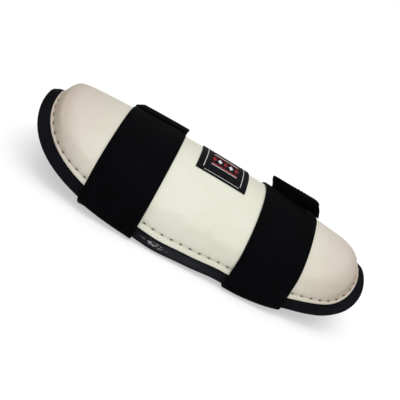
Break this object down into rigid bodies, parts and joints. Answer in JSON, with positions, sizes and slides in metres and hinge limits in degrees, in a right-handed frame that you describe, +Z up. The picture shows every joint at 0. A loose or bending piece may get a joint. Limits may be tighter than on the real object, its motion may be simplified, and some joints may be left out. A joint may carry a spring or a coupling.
{
  "type": "taekwondo shin guard",
  "caption": "Half-tube guard for the shin: white padded cover stitched on a black foam backing, held by wide elastic straps with hook tape ends, label on the crown",
  "frame": {"origin": "middle of the footprint, on the floor under the two straps' flat stretches", "axes": "X along the guard with the knee end at -X and the ankle end at +X, Y across with the straps' free ends on the +Y side, Z up to the crown that faces forward on the leg"},
  "size_m": [0.307, 0.1412, 0.0731],
  "materials": {
    "foam": "black foam faced with knit cloth",
    "vinyl": "cream white vinyl, soft gloss",
    "elastic": "black woven elastic",
    "hook_tape": "black hook tape",
    "woven": "black woven label with white and red threads"
  },
  "bodies": {
    "root": {"backing": "foam", "cover": "vinyl", "strap_knee": "elastic", "strap_ankle": "elastic", "hook_tape_knee": "hook_tape", "hook_tape_ankle": "hook_tape", "label": "woven"}
  },
  "joints": []
}
